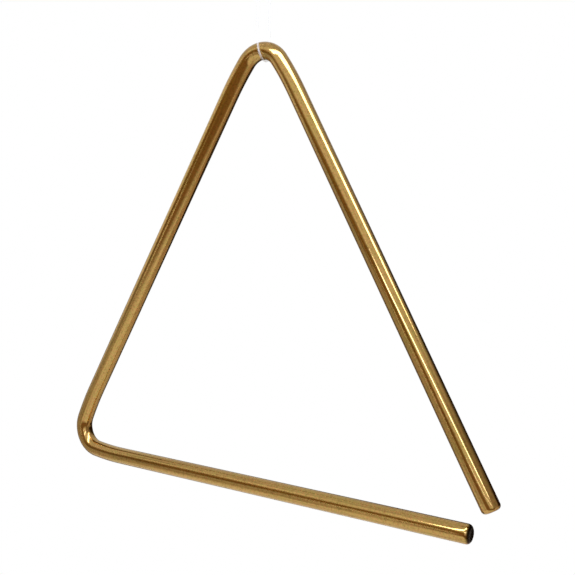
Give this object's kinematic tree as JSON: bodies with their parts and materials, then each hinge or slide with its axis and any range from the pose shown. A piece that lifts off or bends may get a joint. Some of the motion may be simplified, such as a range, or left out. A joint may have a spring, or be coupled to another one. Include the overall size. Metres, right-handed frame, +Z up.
{
  "type": "triangle instrument",
  "caption": "Struck percussion triangle: a round brass bar bent into an open triangle, hung by a short loop of clear nylon line so that it swings and rings freely.",
  "frame": {"origin": "inside the top of the hanging loop, where the hook carries it, above the middle of the upper bend", "axes": "+Z up, +X along the level base towards the open corner, -Y out of the front of the triangle"},
  "size_m": [0.2034, 0.0096, 0.2062],
  "materials": {
    "polished_brass": "polished, with faint drawing marks along the bar",
    "clear_nylon": "clear extruded monofilament"
  },
  "bodies": {
    "hanger": {"hanging_line": "clear_nylon", "line_knot": "clear_nylon"},
    "bar": {"triangle_bar": "polished_brass"}
  },
  "joints": [
    {"name": "bar_swing", "type": "hinge", "parent": "hanger", "child": "bar", "pos_m": [0, 0, -0.03025], "axis": [1, 0, 0], "range_deg": [-90, 90]}
  ]
}
